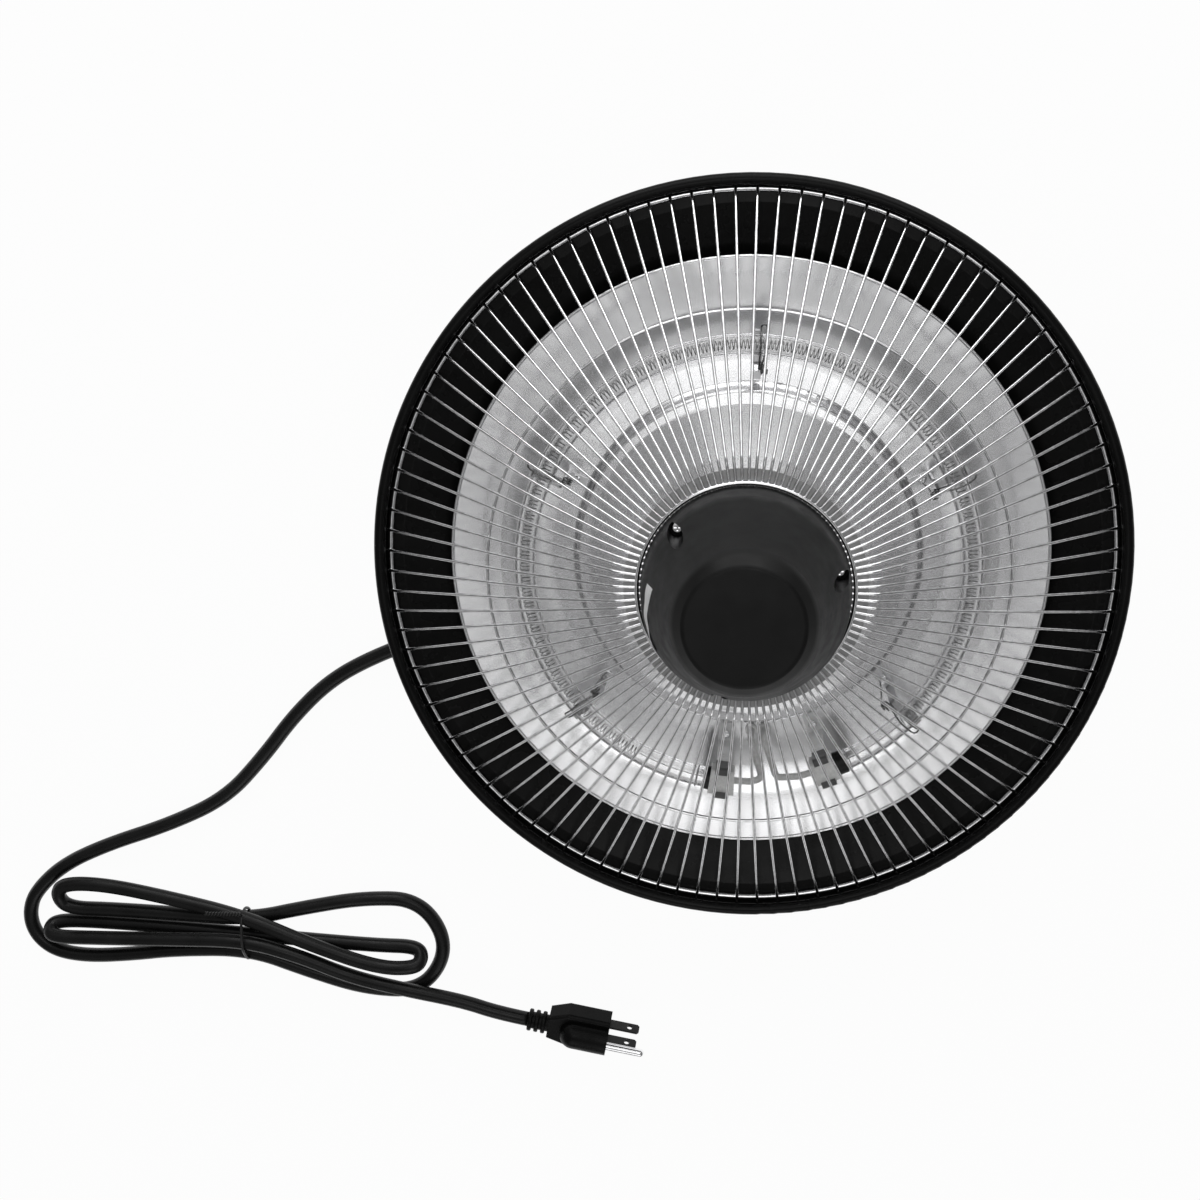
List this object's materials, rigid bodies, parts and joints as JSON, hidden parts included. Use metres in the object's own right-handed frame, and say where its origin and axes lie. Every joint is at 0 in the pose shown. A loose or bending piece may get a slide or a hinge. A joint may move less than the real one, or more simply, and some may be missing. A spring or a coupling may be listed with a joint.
{
  "type": "hanging patio heater",
  "caption": "Hanging electric heater: wide black shade, pale reflector, ring-shaped quartz element on clips, domed wire guard, black hub, swinging bracket, tied cord and plug.",
  "frame": {"origin": "middle of the flat back of the rear cap, on which the heater lies", "axes": "+Z out of the shade's opening, +Y along the bail's pivots, +X to the side where the bail lies"},
  "size_m": [0.6331, 0.5133, 0.2324],
  "materials": {
    "black_shell": "semi-gloss black coating",
    "black_cap": "satin black coating",
    "reflector_sheet": "satin",
    "guard_wire": "bright plated",
    "hub_shell": "fine matt black",
    "bright_screw": "bright plated",
    "label_paper": "plain pale paper",
    "quartz": "clear",
    "filament_wire": "dull coiled wire",
    "white_ceramic": "unglazed white ceramic",
    "clip_steel": "plain spring steel",
    "lead_sleeve": "pale woven glass sleeve",
    "inner_wire": "plain insulation",
    "zinc_steel": "zinc plated",
    "bail_steel": "satin black coating",
    "pivot_steel": "bright plated",
    "cord_jacket": "semi-gloss black jacket",
    "cord_fittings": "satin black",
    "tie_wire": "coated tie wire",
    "dark_blade": "dark tarnished",
    "bright_pin": "plated"
  },
  "bodies": {
    "heater": {"shade": "black_shell", "top_cap": "black_cap", "reflector": "reflector_sheet", "guard_spokes": "guard_wire", "guard_outer_ring": "guard_wire", "guard_middle_ring": "guard_wire", "guard_inner_ring": "guard_wire", "hub_cover": "hub_shell", "hub_screws": "bright_screw", "clip_screws": "bright_screw", "hub_label": "label_paper", "heating_tube": "quartz", "heating_filament": "filament_wire", "tube_end_caps": "white_ceramic", "lead_bushings": "white_ceramic", "terminal_block": "white_ceramic", "tube_clip_brackets": "clip_steel", "tube_end_holders": "clip_steel", "tube_clip_springs": "clip_steel", "lead_sleeves": "lead_sleeve", "inner_wires": "inner_wire", "center_column": "zinc_steel", "tie_rod": "zinc_steel", "tie_rod_nuts": "zinc_steel", "reflector_standoffs": "zinc_steel", "hub_base_plate": "zinc_steel", "cap_screws": "zinc_steel", "bail_nuts": "zinc_steel", "thermal_cutout": "zinc_steel", "bail_pivots": "pivot_steel", "cord_lead": "cord_jacket", "cord_hank": "cord_jacket", "cord_tail": "cord_jacket", "cord_gland": "cord_fittings", "plug_strain_relief": "cord_fittings", "plug_body": "cord_fittings", "hank_tie": "tie_wire", "plug_blades": "dark_blade", "plug_ground_pin": "bright_pin"},
    "bail": {"bail": "bail_steel"}
  },
  "joints": [
    {"name": "bail_hinge", "type": "hinge", "parent": "heater", "child": "bail", "pos_m": [0, 0, 0.022], "axis": [0, 1, 0], "range_deg": [-20, 155]}
  ]
}
